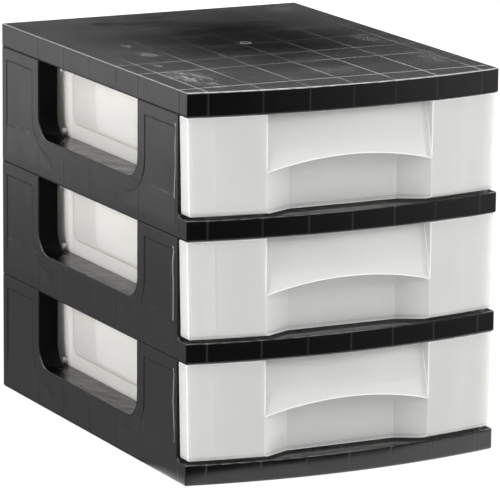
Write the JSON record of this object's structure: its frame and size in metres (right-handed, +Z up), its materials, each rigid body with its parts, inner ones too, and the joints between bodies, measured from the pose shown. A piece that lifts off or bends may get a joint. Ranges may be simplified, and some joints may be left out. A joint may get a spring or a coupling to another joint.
{
  "type": "stackable drawer unit",
  "caption": "Desktop drawer tower: glossy black stacking frames with side windows, a flat cover and frosted drawers with a bowed front and an arched finger pull.",
  "frame": {"origin": "middle of the footprint's bounding box, on the surface that the unit stands on", "axes": "+X to the right seen from the front, +Y to the back along the drawers, +Z up"},
  "size_m": [0.28, 0.38, 0.3185],
  "materials": {
    "frame_plastic": "glossy black moulded polypropylene with faint sink lines over the ribs",
    "drawer_plastic": "frosted see-through polypropylene, satin"
  },
  "bodies": {
    "cabinet": {"top_cover": "frame_plastic", "upper_frame": "frame_plastic", "middle_frame": "frame_plastic", "lower_frame": "frame_plastic"},
    "top_drawer": {"top_drawer": "drawer_plastic"},
    "middle_drawer": {"middle_drawer": "drawer_plastic"},
    "bottom_drawer": {"bottom_drawer": "drawer_plastic"}
  },
  "joints": [
    {"name": "top_drawer_slide", "type": "slide", "parent": "cabinet", "child": "top_drawer", "axis": [0, -1, 0], "range_m": [0, 0.266]},
    {"name": "middle_drawer_slide", "type": "slide", "parent": "cabinet", "child": "middle_drawer", "axis": [0, -1, 0], "range_m": [0, 0.266]},
    {"name": "bottom_drawer_slide", "type": "slide", "parent": "cabinet", "child": "bottom_drawer", "axis": [0, -1, 0], "range_m": [0, 0.266]}
  ]
}
